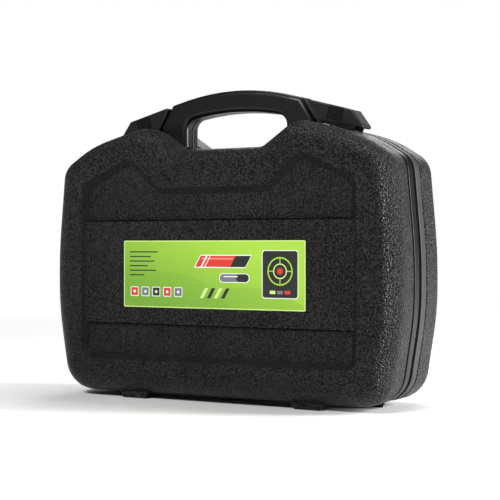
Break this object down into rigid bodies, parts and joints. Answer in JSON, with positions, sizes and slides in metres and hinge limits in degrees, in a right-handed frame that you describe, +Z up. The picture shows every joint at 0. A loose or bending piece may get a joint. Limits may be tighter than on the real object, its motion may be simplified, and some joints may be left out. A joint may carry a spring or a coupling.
{
  "type": "carry case with electric sheep shears",
  "caption": "Black moulded carry case with a grip handle, sliding latches and a green label, holding an electric sheep clipper and its tools.",
  "frame": {"origin": "centre of the case's footprint, on the surface that its feet stand on", "axes": "+X along the case, to the right of someone facing the label; +Y from the label side to the back; +Z up"},
  "size_m": [0.3894, 0.12, 0.3108],
  "materials": {
    "case_plastic": "moulded with a fine pebbled grain",
    "handle_plastic": "smooth, semi-gloss",
    "latch_plastic": "smooth, semi-gloss",
    "tray_plastic": "smooth matt",
    "label_film": "printed film",
    "steel": "ground",
    "red_plastic": "smooth",
    "dark_plastic": "satin",
    "rubber": "matt",
    "cast_aluminium": "cast",
    "clear_plastic": "milky",
    "wood": "plain",
    "bristle": "stiff bristle"
  },
  "bodies": {
    "base": {"back_shell": "case_plastic", "hinge_pins": "steel", "back_handle_half": "handle_plastic", "back_inner_tray": "tray_plastic", "motor_housing": "red_plastic", "rear_cap": "dark_plastic", "cord_gland": "rubber", "stator_core": "steel", "rear_bearing": "steel", "front_bearing": "steel", "brush_caps": "dark_plastic", "gear_head": "cast_aluminium", "tension_pin": "steel", "fork_pivot_pin": "steel", "comb": "steel", "comb_screws": "steel", "oil_bottle": "clear_plastic", "brush_handle": "wood", "brush_tufts": "bristle", "screwdriver_handle": "red_plastic", "screwdriver_blade": "steel"},
    "lid": {"front_shell": "case_plastic", "front_inner_tray": "tray_plastic", "front_handle_half": "handle_plastic", "label": "label_film"},
    "left_latch": {"left_latch": "latch_plastic"},
    "right_latch": {"right_latch": "latch_plastic"},
    "rotor": {"armature": "steel"},
    "fork": {"drive_fork": "steel", "cutter": "steel"},
    "tension": {"tension_knob": "dark_plastic"},
    "switch": {"switch_slider": "dark_plastic"},
    "cap": {"bottle_cap": "red_plastic"}
  },
  "joints": [
    {"name": "lid_hinge", "type": "hinge", "parent": "base", "child": "lid", "pos_m": [0, 0, 0.00375], "axis": [1, 0, 0], "range_deg": [0, 160]},
    {"name": "right_latch_slide", "type": "slide", "parent": "base", "child": "right_latch", "axis": [0.9659, 0, -0.259], "range_m": [0, 0.012]},
    {"name": "left_latch_slide", "type": "slide", "parent": "base", "child": "left_latch", "axis": [-0.9659, 0, -0.259], "range_m": [0, 0.012]},
    {"name": "motor_spin", "type": "hinge", "parent": "base", "child": "rotor", "pos_m": [0, 0.013, 0.165], "axis": [1, 0, 0], "continuous": true},
    {"name": "cutter_swing", "type": "hinge", "parent": "base", "child": "fork", "pos_m": [0.066, 0.02, 0.165], "axis": [0, 1, 0], "range_deg": [-6, 6]},
    {"name": "tension_turn", "type": "hinge", "parent": "base", "child": "tension", "pos_m": [0.066, -0.02, 0.165], "axis": [0, 1, 0], "range_deg": [-180, 180]},
    {"name": "switch_slide", "type": "slide", "parent": "base", "child": "switch", "axis": [1, 0, 0], "range_m": [0, 0.012]},
    {"name": "bottle_cap_turn", "type": "hinge", "parent": "base", "child": "cap", "pos_m": [-0.06, 0.0187, 0.096], "axis": [1, 0, 0], "range_deg": [0, 360]}
  ]
}
